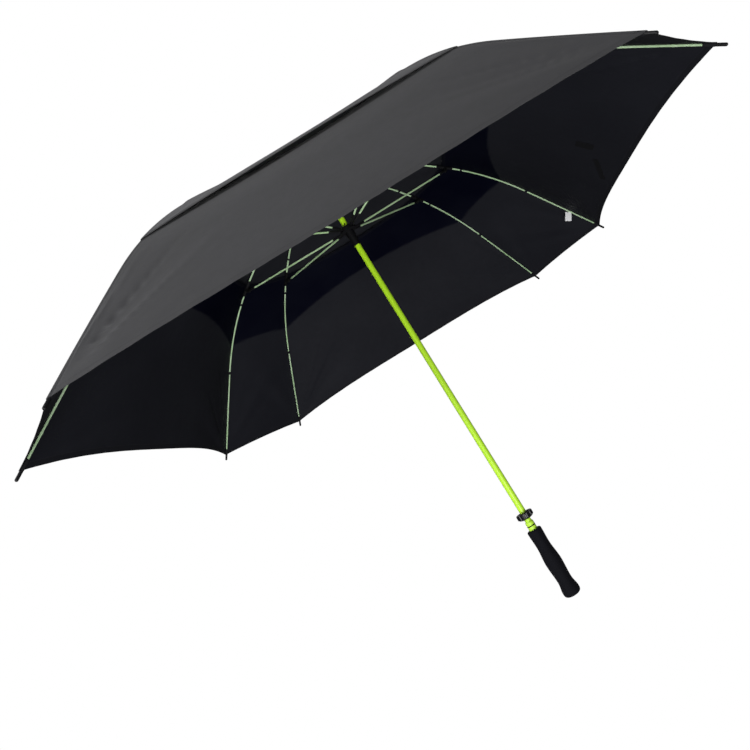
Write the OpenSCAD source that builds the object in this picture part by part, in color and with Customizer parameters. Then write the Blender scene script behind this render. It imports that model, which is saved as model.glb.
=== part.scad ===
// Golf umbrella, open, with a double, vented canopy. Millimetres, +Z along the
// shaft from the grip to the ferrule, origin at the centre of the grip's bottom end.

/* [Shaft] */
// Outside diameter of the shaft tube
shaft_d = 13.2; // [12.8:0.1:13.4]
// Wall thickness of the shaft tube
shaft_wall = 1.2; // [1:0.1:1.6]
// Height of the rib pivots in the top notch
notch_z = 1018; // [1016:1:1020]
// Height of the runner pivots with the umbrella open
runner_z = 870; // [868:1:872]

/* [Frame] */
// Distance of every notch and runner pivot from the shaft axis
pivot_r = 15; // [15:0.1:15.4]
// Half the angle between the two ribs of a pair
pair_half = 10.13; // [10:0.1:11]
// Distance of the rib joint pivots from the shaft axis
joint_r = 351; // [348:1:354]
// Rib rod diameter
rib_d = 4.4; // [4.2:0.1:4.6]
// Diameter of the rib's outer end rod
rib_end_d = 3.8; // [3.6:0.1:4]
// Stretcher rod diameter
stretcher_d = 4.2; // [4:0.1:4.6]
// Diameter of the rib tip caps
cap_d = 5.4; // [5:0.1:5.8]

/* [Grip] */
// Length of the foam grip
grip_len = 140; // [136:1:142]
// Largest diameter of the grip
grip_d = 35.4; // [34:0.1:36]
// Diameter of the tip cup
cup_d = 34.4; // [33:0.1:34.6]

/* [Canopy] */
// Vertical thickness of the canopy fabric solids
cloth_t = 0.9; // [0.7:0.1:1]
// Inward sag of the wide panels, square to the cloth
panel_dip = 4.8; // [3:0.1:6]
// How far the lower hem is cut back at mid panel, wide panels
hem_scallop = 21; // [12:0.5:24]
// How far the upper hem is cut back at mid panel, wide panels
vent_scallop = 44; // [30:1:50]

/* [Hidden] */
$fn = 48;

black = [0.09, 0.09, 0.11];
lime = [0.66, 0.86, 0.22];
pale = [0.62, 0.76, 0.56];
grey = [0.29, 0.29, 0.31];
steel = [0.7, 0.7, 0.72];

shaft_bottom = 6;
shaft_top = notch_z + 20;
snug_r = shaft_d / 2 + 0.03; // bore of the parts fixed on the shaft
stop_z = runner_z + 12;
stop_r = 1.25;
catch_z = runner_z - 30;
catch_r = 1.6;
collar_r = 18.5; // slotted collars of the notch and the runner
collar_h = 8.2;
wire_d = 1.6;
sleeve_r = 8;
rivet_r = 1.25;
eye_t = 3;

// Azimuth of rib k: a pair of ribs flanks every diagonal
function rib_az(k) =
    [for (mid = [225, 135, 45, 315]) each [mid + pair_half, mid - pair_half]][k - 1];

// ---- Rib centre line ----
// Points are [x outward, y up] in the rib's own vertical plane. Slopes are in
// degrees below level. Three tangent arcs join the knots, then a straight end.
notch_pivot = [pivot_r, notch_z];
runner_pivot = [pivot_r, runner_z];
joint_pivot = [joint_r, (notch_z + runner_z) / 2];
knots = [notch_pivot, [376, 943.5], [560.7, 822.5], [690, 699.5]];
tip_len = 78;

function fall(from, to) = atan2(from.y - to.y, to.x - from.x);
function heading(slope) = [cos(slope), -sin(slope)];

// Each chord's slope is the mean of its arc's end slopes; the rib starts level
slope_1 = 2 * fall(knots[0], knots[1]);
slope_2 = 2 * fall(knots[1], knots[2]) - slope_1;
slope_3 = 2 * fall(knots[2], knots[3]) - slope_2;
slopes = [0, slope_1, slope_2, slope_3];
radii = [for (i = [0:2])
    norm(knots[i + 1] - knots[i]) / (2 * sin((slopes[i + 1] - slopes[i]) / 2))];
centres = [for (i = [0:2]) knots[i] - radii[i] * [sin(slopes[i]), cos(slopes[i])]];
rib_tip = knots[3] + tip_len * heading(slope_3);

// Which span x lies in: arcs 0 to 2, or 3 for the straight end
function span(x) = x < knots[1].x ? 0 : x < knots[2].x ? 1 : x < knots[3].x ? 2 : 3;
function rib_z(x) = let (i = span(x))
    i == 3 ? knots[3].y - (x - knots[3].x) * tan(slope_3)
    : centres[i].y + sqrt(radii[i] * radii[i] - pow(x - centres[i].x, 2));
function rib_slope(x) = let (i = span(x))
    i == 3 ? slope_3 : asin((x - centres[i].x) / radii[i]);
function arc_angle(length, radius) = length / radius * 180 / PI;

// ---- Shared shapes ----
// Cylinder on the shaft axis, bottom at z
module drum(z, h, r) translate([0, 0, z]) cylinder(r = r, h = h);

// Stand a drawing made in the XZ plane at the azimuth of rib k
module at_rib(k) rotate([0, 0, rib_az(k)]) children();

// Turn +Z to run from a rib plane point down the slope
module along(point, slope)
    translate([point.x, 0, point.y]) rotate([0, 90 + slope, 0]) children();

module straight_rod(start, slope, length, d)
    along(start, slope) cylinder(d = d, h = length, $fn = 32);

// Rod on arc i of the rib, between two slopes
module arc_rod(i, from, to, d)
    translate([centres[i].x, 0, centres[i].y]) rotate([90, 0, 0]) rotate([0, 0, 90 - to])
        rotate_extrude(angle = to - from, $fn = 360)
            translate([radii[i], 0]) circle(d = d, $fn = 32);

// Flat eye with its neck running down the slope
module eye(pivot, slope, r, bore_r, neck_len, neck_h)
    translate([pivot.x, 0, pivot.y]) rotate([0, slope, 0]) difference() {
        union() {
            rotate([90, 0, 0]) cylinder(r = r, h = eye_t, center = true);
            translate([0, -eye_t / 2, -neck_h / 2]) cube([neck_len, eye_t, neck_h]);
        }
        rotate([90, 0, 0]) cylinder(r = bore_r, h = eye_t + 2, center = true);
    }

// Radial slots for the flat eyes, one per rib
module eye_slots(z, h) {
    slot_w = eye_t + 0.3;
    for (k = [1:8])
        at_rib(k) translate([11.5, -slot_w / 2, z]) cube([12, slot_w, h]);
}

module wire_ring(z, d)
    translate([0, 0, z]) rotate_extrude($fn = 96)
        translate([pivot_r, 0]) circle(d = d, $fn = 24);

module wire_groove(z) wire_ring(z, wire_d + 0.16);

// ---- Ribs and stretchers ----
module rib(k) color(pale) at_rib(k) {
    neck = 6;
    eye(notch_pivot, 0, r = 2.5, bore_r = 1, neck_len = neck + 1, neck_h = 4.6);
    arc_rod(0, arc_angle(neck, radii[0]), slope_1, rib_d);
}

// The outer end of the rib starts a hair beyond the end of the inner rod
module rib_end(k) color(pale) at_rib(k) {
    gap = 0.15;
    arc_rod(1, slope_1 + arc_angle(gap, radii[1]), slope_2, rib_end_d);
    arc_rod(2, slope_2, slope_3, rib_end_d);
    straight_rod(knots[3], slope_3, tip_len - 2.5, rib_end_d);
    // Bands round the rod, centred on the two outer knots: [knot, length, extra diameter]
    for (band = [[2, 6, 0.9], [3, 5, 0.7]]) {
        slope = slopes[band[0]];
        start = knots[band[0]] - band[1] / 2 * heading(slope);
        straight_rod(start, slope, band[1], rib_end_d + band[2]);
    }
}

// Moulded bracket on the rib with a fork and rivet for the stretcher
module rib_joint(k) {
    seat = [joint_r, rib_z(joint_r)];
    slope = rib_slope(joint_r);
    cheek_len = seat.y - joint_pivot.y - 1.5;
    cheek_r = 4.3;
    cheek_t = 1.9;
    color(black) at_rib(k) {
        difference() {
            union() {
                along(seat, slope) drum(-20, 44.8, 3.8);
                for (z = [-21, 18.8])
                    along(seat, slope) drum(z, 6, 4.3);
                for (side = [-1, 1])
                    translate([joint_r, side * 2.6, joint_pivot.y]) {
                        rotate([90, 0, 0]) cylinder(r = cheek_r, h = cheek_t, center = true);
                        rotate([0, slope, 0]) translate([-cheek_r, -cheek_t / 2, 0])
                            cube([2 * cheek_r, cheek_t, cheek_len]);
                    }
            }
            along(seat, slope) drum(-30, 66, rib_d / 2 + 0.45);
        }
        translate([joint_r, 0, joint_pivot.y]) rotate([90, 0, 0]) {
            cylinder(r = rivet_r, h = 8.6, center = true);
            for (side = [-1, 1])
                translate([0, 0, side * 4.1]) cylinder(r = 2.1, h = 1, center = true);
        }
    }
}

// Domed cap with a slight rim at its inner end
module tip_cap(k) {
    cap_start = -30;
    color(black) at_rib(k) along(rib_tip, slope_3) difference() {
        union() {
            drum(cap_start, 27, cap_d / 2);
            translate([0, 0, -3.2]) intersection() {
                sphere(d = cap_d);
                cylinder(d = cap_d + 1, h = cap_d);
            }
            drum(cap_start, 2.2, cap_d / 2 + 0.005);
        }
        drum(cap_start - 1, 28.6, rib_end_d / 2 + 0.02);
    }
}

module stretcher(k) {
    slope = fall(runner_pivot, joint_pivot);
    inset = 6.4; // from each pivot to the rod's end
    rod_len = norm(joint_pivot - runner_pivot) - 2 * inset;
    color(pale) at_rib(k) {
        eye(runner_pivot, slope, r = 2.5, bore_r = 1, neck_len = 8, neck_h = 4);
        eye(joint_pivot, 180 + slope, r = 3.3, bore_r = rivet_r + 0.06, neck_len = 8, neck_h = 4);
        straight_rod(runner_pivot + inset * heading(slope), slope, rod_len, stretcher_d);
    }
}

// ---- Top of the shaft ----
module top_notch() color(black) difference() {
    union() {
        drum(notch_z - 16, 12.1, 9.9);
        drum(notch_z - 4, collar_h, collar_r);
        drum(notch_z + 4, 1.6, 17.8);
    }
    drum(notch_z - 30, 60, snug_r);
    eye_slots(notch_z - 20, 24.1);
    wire_groove(notch_z);
}

module notch_wire() color(steel) wire_ring(notch_z, wire_d);

module ferrule_washer() color(black) translate([0, 0, notch_z + 8.6]) difference() {
    cylinder(r = 14, h = 1.4);
    drum(-1, 5, shaft_d / 2 + 0.1);
}

// [radius, height] outline of the ferrule
ferrule_outline = [[0, 0], [10.5, 0], [10.5, 3], [8.6, 8], [6.6, 16],
    [4.6, 40], [4, 44], [4, 56], [3, 58], [0, 58]];

module top_ferrule() color(black) difference() {
    translate([0, 0, notch_z + 10.2]) rotate_extrude($fn = 64) polygon(ferrule_outline);
    drum(notch_z, shaft_top + 0.4 - notch_z, shaft_d / 2 + 0.02);
}

// ---- Shaft and runner ----
// Tube with a cross hole for the stop pin and a hole on +Y for the catch
module shaft_tube() color(lime) difference() {
    drum(shaft_bottom, shaft_top - shaft_bottom, shaft_d / 2);
    drum(shaft_bottom - 1, notch_z + 20, shaft_d / 2 - shaft_wall);
    translate([0, 0, stop_z]) rotate([90, 0, 0])
        cylinder(r = stop_r + 0.01, h = 40, center = true);
    translate([0, shaft_d / 2 + 4, catch_z]) rotate([90, 0, 0])
        cylinder(r = catch_r + 0.06, h = 8);
}

// Cross pin that stops the runner at the top of its travel
module stop_pin() color([0.3, 0.3, 0.32]) translate([0, 0, stop_z]) rotate([90, 0, 0])
    cylinder(r = stop_r, h = shaft_d + 3, center = true);

// Sprung button that holds the runner up, with a chamfered head and a flange
module top_catch() color([0.45, 0.45, 0.48]) translate([0, 0, catch_z]) rotate([-90, 0, 0]) {
    drum(0.5, 7.3, catch_r);
    translate([0, 0, 7.8]) cylinder(r1 = catch_r, r2 = 1.1, h = 0.7);
    drum(2.2, 1.2, 3.1);
}

// Leaf spring behind the catch, bent to a U inside the tube. Drawn with x
// towards -Y and y up the shaft.
module catch_spring() {
    leaf_t = 0.4;
    gap = 3.6;
    bend_y = -20;
    color(steel) translate([0, 0, catch_z]) rotate([90, 0, -90])
        linear_extrude(2.6, center = true) difference() {
            union() {
                translate([-leaf_t, bend_y]) square([gap + 2 * leaf_t, 26]);
                translate([gap / 2, bend_y]) circle(r = gap / 2 + leaf_t);
            }
            translate([0, bend_y]) square([gap, 30]);
            translate([gap / 2, bend_y]) circle(r = gap / 2);
            // The +Y leaf ends lower than the other
            translate([-1, 3]) square([3, 9]);
        }
}

// Slot on the +Y side of the runner, in line with the catch
module catch_slot(z, depth) translate([-1.9, 0, z]) cube([3.8, depth, 60]);

module runner_hub() color(black) difference() {
    union() {
        drum(runner_z - 20, 16.2, 10.1);
        drum(runner_z - 4.2, collar_h, collar_r);
        translate([0, 0, runner_z - 6.4]) cylinder(r1 = 12.5, r2 = 17.6, h = 2.4);
    }
    drum(runner_z - 30, 60, sleeve_r + 0.02);
    eye_slots(runner_z - 3.4, 14);
    wire_groove(runner_z);
    catch_slot(runner_z - 40, 9);
}

module runner_sleeve() color(black) difference() {
    union() {
        drum(runner_z - 42, 47.5, sleeve_r);
        drum(runner_z - 42, 3, sleeve_r + 1);
    }
    drum(runner_z - 60, 90, shaft_d / 2 + 0.08);
    catch_slot(runner_z - 33, 12);
}

module runner_wire() color(steel) wire_ring(runner_z, wire_d);

// ---- Handle ----
// [radius, height] outline of the cup, with a groove sunk in its top
cup_outline = [[0, 0], [11, 0], [14.6, 1.6], [cup_d / 2, 4], [cup_d / 2, 11.4],
    [cup_d / 2 - 1, 12.6], [14, 12.6], [9.6, 8.6], [8.9, 9.4], [8.6, 13.6], [0, 13.6]];

// Lobed cup above the grip that shields the rib tips of the closed umbrella
module tip_cup() color(black) difference() {
    translate([0, 0, 164]) rotate_extrude($fn = 96) polygon(cup_outline);
    drum(150, 60, snug_r);
    for (k = [1:8])
        at_rib(k) translate([19.6, 0, 150]) cylinder(r = 3.65, h = 40);
    for (quarter = [0:3], offset_az = [-27, -9, 9, 27])
        rotate([0, 0, 90 * quarter + offset_az]) translate([19.4, 0, 150])
            cylinder(r = 3, h = 40);
}

// [radius, height] outline of the sleeve, with a shallow groove round it
sleeve_outline = [[0, 0], [8.6, 0], [8.6, 7.2], [7.7, 7.4], [7.7, 9.4],
    [8.6, 9.6], [8.6, 15.6], [7.6, 17.4], [0, 17.4]];

module handle_sleeve() color(lime) difference() {
    translate([0, 0, grip_len + 0.2]) rotate_extrude($fn = 64) polygon(sleeve_outline);
    drum(grip_len - 5, 40, snug_r);
}

// [height fraction, radius] of the grip, joined by cosine blends
grip_stations = [[0, grip_d / 2 - 0.7], [0.07, grip_d / 2], [0.22, 14.6],
    [0.5, 16.75], [0.76, 13.95], [1, 15.1]];
core_r = 8;
foam_floor = 4;

function blend(a, b, t) = a + (b - a) * (1 - cos(180 * t)) / 2;
function grip_r(t, i = 0) =
    let (low = grip_stations[i], high = grip_stations[i + 1])
    i < len(grip_stations) - 2 && t >= high[0] ? grip_r(t, i + 1)
    : blend(low[1], high[1], (t - low[0]) / (high[0] - low[0]));

module grip_foam() {
    foot = 7; // edge radii at the bottom and top
    brow = 3;
    foot_x = grip_r(0.05) - foot;
    brow_x = grip_r(1) - brow;
    rows = 40;
    outline = concat([[0, 0]],
        [for (i = [0:6]) [foot_x + foot * sin(15 * i), foot - foot * cos(15 * i)]],
        [for (i = [1:rows]) let (z = foot + i * (grip_len - foot - brow) / rows)
            [grip_r(z / grip_len), z]],
        [for (i = [1:6])
            [brow_x + brow * cos(15 * i), grip_len - brow + brow * sin(15 * i)]],
        [[0, grip_len]]);
    color(black) difference() {
        rotate_extrude($fn = 96) polygon(outline);
        drum(foam_floor, grip_len, core_r + 0.05);
    }
}

module grip_core() color([0.2, 0.2, 0.22]) difference() {
    drum(foam_floor + 0.1, grip_len - 4.2, core_r);
    drum(shaft_bottom - 0.1, grip_len, snug_r);
}

// ---- Canopy cloth ----
// Height of each canopy's underside above the rib centre line, square to it
low_lift = 5.7;
up_lift = 7.7;

// Panels 0-7 are centred every 45 degrees from +X, the even ones wide
function wide(panel) = panel % 2 == 0;

// A point of the cloth. u runs -1..1 from rib to rib, x is the distance of both
// ribs' points from the axis, lift raises the cloth off the ribs, dip sags the
// panel's middle square to the cloth.
function cloth(panel, u, x, lift, dip) =
    let (half = wide(panel) ? 45 - pair_half : pair_half,
        mid = panel * 45,
        slope = rib_slope(x),
        mid_slope = atan2(tan(slope), cos(half)),
        sag = dip * (1 - u * u) * (wide(panel) ? 1 : 0.12),
        out = x * cos(half) - sag * sin(mid_slope),
        across = u * x * sin(half))
    [out * cos(mid) - across * sin(mid), out * sin(mid) + across * cos(mid),
        rib_z(x) + lift / cos(slope) - sag * cos(mid_slope)];

// Two triangles over the corners a, b, c, d, with b-c their common edge
function quad(a, b, c, d) = [[a, b, c], [c, b, d]];

// Closed sheet round all eight panels, in rows from the inner to the outer edge.
// The scallops cut the edges back at mid panel; only wide panels have an inner one.
module sheet(inner_x, outer_x, inner_cut, wide_cut, narrow_cut, rows, lift, dip) {
    columns = [for (panel = [0:7]) let (steps = wide(panel) ? 12 : 4)
        for (i = [0:steps - 1]) [panel, -1 + 2 * i / steps]];
    n = len(columns);
    top = [for (j = [0:rows], column = columns)
        let (panel = column[0],
            u = column[1],
            start = inner_x + (wide(panel) ? inner_cut : 0) * (1 - u * u),
            end = outer_x - (wide(panel) ? wide_cut * (1 - pow(abs(u), 3.2))
                : narrow_cut * (1 - u * u)),
            x = start + (end - start) * j / rows)
        cloth(panel, u, x, lift + cloth_t * cos(rib_slope(x)), dip * min(1, x / 320))];
    m = len(top);
    under = [for (p = top) p - [0, 0, cloth_t]];
    last = rows * n;
    faces = concat(
        [for (j = [0:rows - 1], i = [0:n - 1])
            let (a = j * n + i, b = j * n + (i + 1) % n) each
            concat(quad(a, a + n, b, b + n), quad(m + a, m + b, m + a + n, m + b + n))],
        [for (a = [0:n - 1]) let (b = (a + 1) % n) each
            concat(quad(a, b, m + a, m + b),
                quad(last + a, m + last + a, last + b, m + last + b))]);
    polyhedron(points = concat(top, under), faces = faces, convexity = 8);
}

module canopy_lower() color(grey)
    sheet(inner_x = 348, outer_x = 737, inner_cut = 4, wide_cut = hem_scallop,
        narrow_cut = 4, rows = 14, lift = low_lift, dip = panel_dip + 8.4);

module canopy_upper() color(grey)
    sheet(inner_x = 9.2, outer_x = 502, inner_cut = 0, wide_cut = vent_scallop,
        narrow_cut = 8, rows = 15, lift = up_lift, dip = panel_dip);

// Closing strap, flat on the outside of panel 0 near its hem
module tie_strap() {
    half_w = 8.5;
    base = [for (j = [0:6], side = [-1, 1])
        cloth(0, 0.03 + 0.04 * j, 658 + 6 * j - side * half_w, low_lift + 1.4, panel_dip + 7.4)];
    n = len(base);
    points = [for (rise = [2.6, 1.2], p = base) p + [0, 0, rise]];
    faces = concat(
        [for (a = [0:2:n - 4]) each concat(
            quad(a, a + 1, a + 2, a + 3),
            quad(n + a, n + a + 2, n + a + 1, n + a + 3),
            quad(a, a + 2, n + a, n + a + 2),
            quad(a + 1, n + a + 1, a + 3, n + a + 3))],
        quad(0, n, 1, n + 1),
        quad(n - 2, n - 1, 2 * n - 2, 2 * n - 1));
    color(black) polyhedron(points = points, faces = faces);
}

// Blank care label hanging beside rib 6 near its end
module care_label() {
    x = 661;
    color("white") at_rib(6) translate([x - 9, 3.2, rib_z(x) - 29]) cube([18, 0.5, 26]);
}

shaft_tube();
top_notch();
notch_wire();
top_ferrule();
ferrule_washer();
stop_pin();
top_catch();
catch_spring();
tip_cup();
handle_sleeve();
grip_foam();
grip_core();
canopy_lower();
canopy_upper();
tie_strap();
care_label();
runner_hub();
runner_sleeve();
runner_wire();
rib(1);  // rib_1
rib(2);  // rib_2
rib(3);  // rib_3
rib(4);  // rib_4
rib(5);  // rib_5
rib(6);  // rib_6
rib(7);  // rib_7
rib(8);  // rib_8
rib_end(1);  // rib_end_1
rib_end(2);  // rib_end_2
rib_end(3);  // rib_end_3
rib_end(4);  // rib_end_4
rib_end(5);  // rib_end_5
rib_end(6);  // rib_end_6
rib_end(7);  // rib_end_7
rib_end(8);  // rib_end_8
rib_joint(1);  // rib_joint_1
rib_joint(2);  // rib_joint_2
rib_joint(3);  // rib_joint_3
rib_joint(4);  // rib_joint_4
rib_joint(5);  // rib_joint_5
rib_joint(6);  // rib_joint_6
rib_joint(7);  // rib_joint_7
rib_joint(8);  // rib_joint_8
tip_cap(1);  // tip_cap_1
tip_cap(2);  // tip_cap_2
tip_cap(3);  // tip_cap_3
tip_cap(4);  // tip_cap_4
tip_cap(5);  // tip_cap_5
tip_cap(6);  // tip_cap_6
tip_cap(7);  // tip_cap_7
tip_cap(8);  // tip_cap_8
stretcher(1);  // stretcher_1
stretcher(2);  // stretcher_2
stretcher(3);  // stretcher_3
stretcher(4);  // stretcher_4
stretcher(5);  // stretcher_5
stretcher(6);  // stretcher_6
stretcher(7);  // stretcher_7
stretcher(8);  // stretcher_8
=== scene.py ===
"""An open stick umbrella with a double canopy.

The shaft stands on the Z axis, handle down and crown up. Eight ribs run out from the
crown in four close pairs, so wide and narrow (corner) panels take turns round the axis;
the first wide panel faces +X. A short upper canopy overlaps a ring-shaped lower one.
Shapes are worked out in millimetres and built in metres.
"""
import math

import bpy
import numpy as np
from mathutils import Matrix, Vector


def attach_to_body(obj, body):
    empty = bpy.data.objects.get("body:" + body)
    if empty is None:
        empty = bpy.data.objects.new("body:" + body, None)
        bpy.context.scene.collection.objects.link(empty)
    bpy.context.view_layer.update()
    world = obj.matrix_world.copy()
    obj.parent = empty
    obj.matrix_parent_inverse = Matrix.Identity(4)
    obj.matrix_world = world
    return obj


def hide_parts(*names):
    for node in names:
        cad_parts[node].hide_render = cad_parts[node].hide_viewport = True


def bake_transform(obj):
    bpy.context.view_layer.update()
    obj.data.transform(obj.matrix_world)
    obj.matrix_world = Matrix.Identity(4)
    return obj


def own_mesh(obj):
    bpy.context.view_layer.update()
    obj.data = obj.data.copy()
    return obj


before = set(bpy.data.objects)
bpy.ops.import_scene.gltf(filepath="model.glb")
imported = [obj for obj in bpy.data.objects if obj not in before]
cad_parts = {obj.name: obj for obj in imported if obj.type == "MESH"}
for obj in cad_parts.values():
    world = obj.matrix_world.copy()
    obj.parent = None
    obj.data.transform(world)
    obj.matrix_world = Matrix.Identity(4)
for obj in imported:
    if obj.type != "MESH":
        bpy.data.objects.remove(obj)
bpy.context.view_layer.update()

scene = bpy.context.scene

# --------------------------------------------------------------------------
# Sizes, in millimetres and degrees
# --------------------------------------------------------------------------
MM = 1000.0  # millimetres in a metre
UP = np.array([0.0, 0.0, 1.0])

PAIR_HALF_ANGLE = 10.13  # from the middle of a corner panel to its ribs
PANEL_STEP = 45
RIB_AZIMUTHS = [corner + turn * PAIR_HALF_ANGLE for corner in (225, 135, 45, 315) for turn in (1, -1)]
RIBS = range(1, 9)

# Rib line: (distance from the axis, height) where its three arcs meet
RIB_POINTS = [(15.0, 1018.0), (376.0, 943.5), (560.7, 822.5), (690.0, 699.5)]
ARC_REACH = [(-np.inf, 400), (370, 570), (550, 700)]  # x range in which each arc is worked out
JOINT_X = RIB_POINTS[1][0]  # the rib's outer part is hinged here

STRETCHER_INNER, STRETCHER_OUTER = (15.0, 870.0), (351.0, 944.0)  # (from the axis, height)

EDGES = {"low": (348.0, 737.0), "up": (9.4, 502.0)}  # inner and outer edge, along the ribs' x
# (layer, wide panel): depth of the hem's hollow between two ribs, power of its curve
HEM_HOLLOWS = {("low", True): (21, 3.2), ("low", False): (4, 2),
               ("up", True): (44, 2.1), ("up", False): (8, 2)}
VENT_BULGE = 4.0  # the lower canopy's inner edge moves out by this in mid-panel

CLOTH_THICKNESS = 0.45
HEM_EXTRA = 0.65  # added where the hem is doubled
SEAM_EXTRA = 0.5  # added along the ribs
# Distances of the mesh rows from a hemmed edge
HEM_ROWS = [0, 0.9, 3.0, 6.0, 8.2, 9.0, 9.8, 10.6, 12.5, 16.0]
# Distances of the mesh columns from the rib
RIB_COLUMNS = [0, 0.7, 1.4, 2.6, 3.8, 4.6, 5.6, 7.0, 9.5, 13.0, 18.0]
LAP_COLUMNS = [15.0, 16.0, 17.5]  # a lap stays clear of the bracket
ROW_STEP = 5.0

# Closing: the whole rib turns down, its outer part turns partly back
FOLD = math.radians(75.0)
FLEX = math.radians(-75.0 * 0.291)
HINGE_LIFT = 2.5  # hinge above the rib line


# --------------------------------------------------------------------------
# Rib line
# --------------------------------------------------------------------------
def unit(vector):
    return vector / (np.linalg.norm(vector, axis=-1, keepdims=True) + 1e-12)


def smooth(start, stop, x):
    t = np.clip((np.asarray(x, float) - start) / (stop - start), 0, 1)
    return t * t * (3 - 2 * t)


def fade(start, stop, x):
    return 1 - smooth(start, stop, x)


def window(rise, fall, x):
    """0 outside, 1 inside: rises over the first range and falls over the second."""
    return smooth(*rise, x) * fade(*fall, x)


def rib_arcs():
    """Tangent arcs through the rib points, level at the first, and the slope at the end."""
    arcs, slope = [], 0.0
    for (x0, z0), (x1, z1), reach in zip(RIB_POINTS, RIB_POINTS[1:], ARC_REACH):
        next_slope = 2 * math.atan2(z0 - z1, x1 - x0) - slope
        radius = math.dist((x0, z0), (x1, z1)) / (2 * math.sin((next_slope - slope) / 2))
        centre = (x0 - radius * math.sin(slope), z0 - radius * math.cos(slope))
        arcs.append((centre, radius, x1, reach))
        slope = next_slope
    return arcs, slope


RIB_ARCS, TIP_SLOPE = rib_arcs()


def rib_line(x):
    """Height and downward slope of the rib at a distance x from the axis."""
    x = np.asarray(x, float)
    end_x, end_z = RIB_POINTS[-1]
    height = end_z - (x - end_x) * math.tan(TIP_SLOPE)
    slope = np.full_like(x, TIP_SLOPE)
    for centre, radius, stop, reach in reversed(RIB_ARCS):
        offset = np.clip(x, *reach) - centre[0]
        height = np.where(x < stop, centre[1] + np.sqrt(radius**2 - offset**2), height)
        slope = np.where(x < stop, np.arcsin(offset / radius), slope)
    return height, slope


def rib_axes(rib):
    """Level unit vectors out along a rib and sideways from it."""
    azimuth = math.radians(RIB_AZIMUTHS[rib - 1])
    cos, sin = math.cos(azimuth), math.sin(azimuth)
    return np.array([cos, sin, 0.0]), np.array([-sin, cos, 0.0])


def rib_point(rib, x, lift=0.0):
    height, slope = (float(v) for v in rib_line(x))
    outward = rib_axes(rib)[0]
    return outward * (x + lift * math.sin(slope)) + UP * (height + lift * math.cos(slope))


def is_wide(panel):
    return panel % 2 == 0


def half_angle(panel):
    pair = math.radians(PAIR_HALF_ANGLE)
    return math.radians(45) - pair if is_wide(panel) else pair


def rib_of(panel, side):
    """Number of the rib on one side (-1 or 1) of a panel."""
    want = (PANEL_STEP * panel + side * math.degrees(half_angle(panel))) % 360
    return min(RIBS, key=lambda rib: abs((RIB_AZIMUTHS[rib - 1] - want + 180) % 360 - 180))


# --------------------------------------------------------------------------
# Cloth surface. "across" runs from -1 to 1 between a panel's two ribs; "gap" is the
# distance from the nearer rib.
# --------------------------------------------------------------------------
def hem_x(panel, across, layer):
    """Where the cloth ends, as a distance along the ribs' own x."""
    depth, power = HEM_HOLLOWS[layer, is_wide(panel)]
    return EDGES[layer][1] - depth * (1 - np.abs(across) ** power)


def rib_gap(panel, across, x):
    return (1 - np.abs(across)) * x * math.sin(half_angle(panel))


def lift_of(layer, x, gap=0.0):
    """Height of the cloth above the rib line; it rides higher over the bracket collars."""
    collar = window((322, 334), (372, 392), x) * fade(7, 60, gap)
    if layer == "low":
        return 3.2 + 1.85 * collar - 0.2 * smooth(700, 730, x)
    return 4.5 + 2.05 * collar + 3.1 * fade(18, 60, x)


def dip_of(layer, x):
    """How deep the cloth sags in the middle of a wide panel."""
    if layer == "low":
        return 13.2
    return 4.6 * np.minimum(1, x / 320) - 1.2 * smooth(330, 490, x)


# Long sharp folds of the lower wide panels: (angle at the rib tip, width, height)
LONG_FOLDS = ((0.16, 0.026, 1.0), (0.33, 0.020, -1.1), (0.47, 0.028, 1.0),
              (0.70, 0.026, -1.0), (0.92, 0.034, 0.8))


def tip_folds(panel, side, layer, x, y):
    """Folds that fan out from one rib tip across the panel."""
    wide, low = is_wide(panel), layer == "low"
    edge = EDGES[layer][1]
    stretch = 1.35 if low else 1.2
    inward = (edge - x) * stretch
    sideways = (side * edge * math.sin(half_angle(panel)) - y) * side
    reach = np.hypot(inward, sideways) + 1e-6
    angle = np.arctan2(sideways, inward + 1e-6)
    if not low:
        near_tip = window((25, 80), (120, 300), reach)
        fan = window((0.03, 0.25), (1.1, 1.45), angle)
        return near_tip * np.sin(angle * 9 + 0.8 * panel + side) * fan
    phase = 1.3 * panel + (0.9 if side > 0 else 2.1)
    fan = window((30, 110), (170, 420), reach) * window((0.03, 0.28), (1.15, 1.5), angle)
    height = (1.1 if wide else 0.7) * fan * np.sin(angle * 10 + phase)
    height += 0.4 * fan * smooth(70, 140, reach) * np.sin(angle * 19 + 2.2 * phase)
    if wide:
        long = window((45, 130), (190, 380), reach)
        for centre, width, fold_height in LONG_FOLDS:
            centre += 0.02 * math.sin(3.1 * panel + 5 * side + 40 * centre)
            height += fold_height * long * np.exp(-(((angle - centre) / width) ** 2))
    return height


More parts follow.
